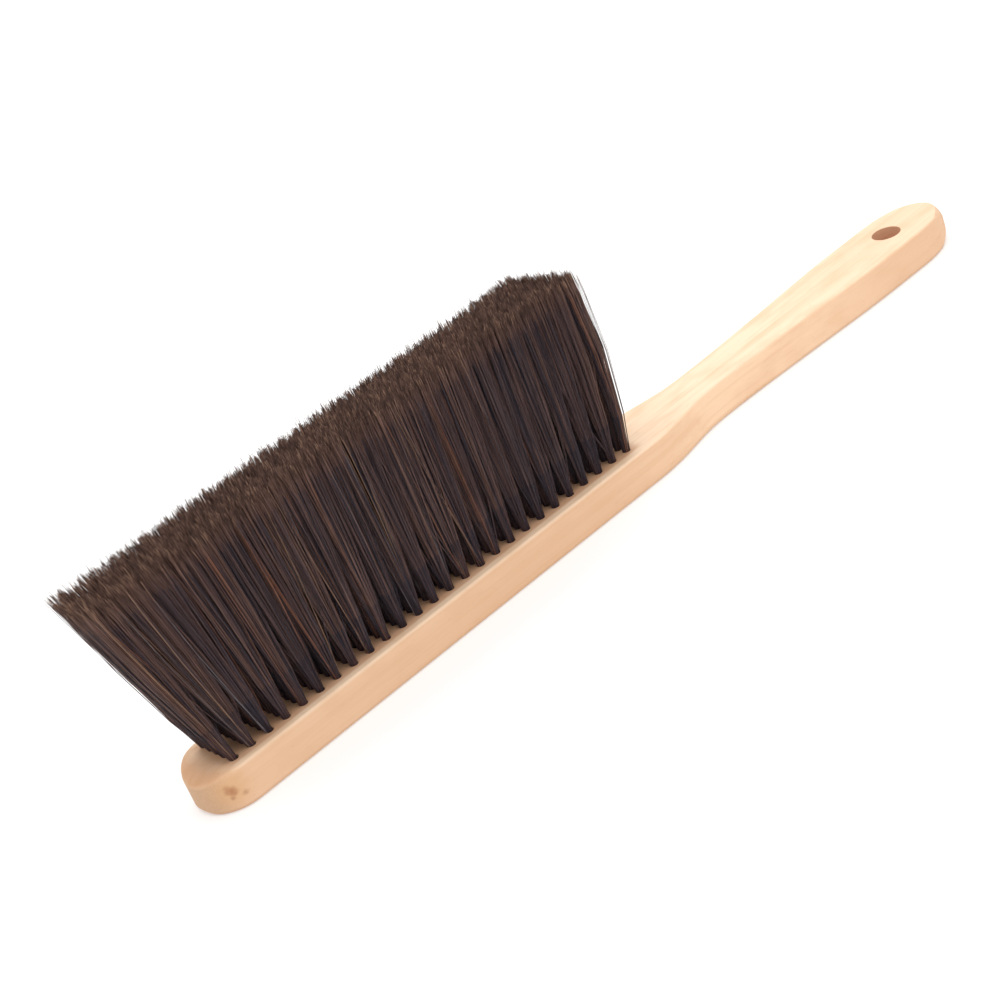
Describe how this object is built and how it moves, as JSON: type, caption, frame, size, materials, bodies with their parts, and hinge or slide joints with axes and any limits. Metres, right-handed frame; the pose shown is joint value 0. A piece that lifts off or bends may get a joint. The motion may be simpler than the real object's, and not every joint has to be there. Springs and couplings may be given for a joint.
{
  "type": "neck duster brush",
  "caption": "Flat wooden hand brush with a long field of soft upright bristle tufts, a necked handle and a hanging hole, used to dust off loose clippings.",
  "frame": {"origin": "on the flat back of the block, under the middle of the tuft field", "axes": "+X along the brush from the tuft field towards the grip, +Z from the flat back towards the bristle tips, +Y across the block"},
  "size_m": [0.3783, 0.0296, 0.0825],
  "materials": {
    "beech": "bare sanded pale beech, satin",
    "bristle": "soft dark brown filament tufts",
    "anchor_wire": "flat drawn wire"
  },
  "bodies": {
    "root": {"brush_block": "beech", "tuft_column_01": "bristle", "tuft_column_02": "bristle", "tuft_column_03": "bristle", "tuft_column_04": "bristle", "tuft_column_05": "bristle", "tuft_column_06": "bristle", "tuft_column_07": "bristle", "tuft_column_08": "bristle", "tuft_column_09": "bristle", "tuft_column_10": "bristle", "tuft_column_11": "bristle", "tuft_column_12": "bristle", "tuft_column_13": "bristle", "tuft_column_14": "bristle", "tuft_column_15": "bristle", "tuft_column_16": "bristle", "tuft_column_17": "bristle", "tuft_column_18": "bristle", "tuft_column_19": "bristle", "tuft_column_20": "bristle", "tuft_column_21": "bristle", "tuft_column_22": "bristle", "tuft_column_23": "bristle", "tuft_column_24": "bristle", "tuft_column_25": "bristle", "tuft_column_26": "bristle", "tuft_anchors": "anchor_wire"}
  },
  "joints": []
}
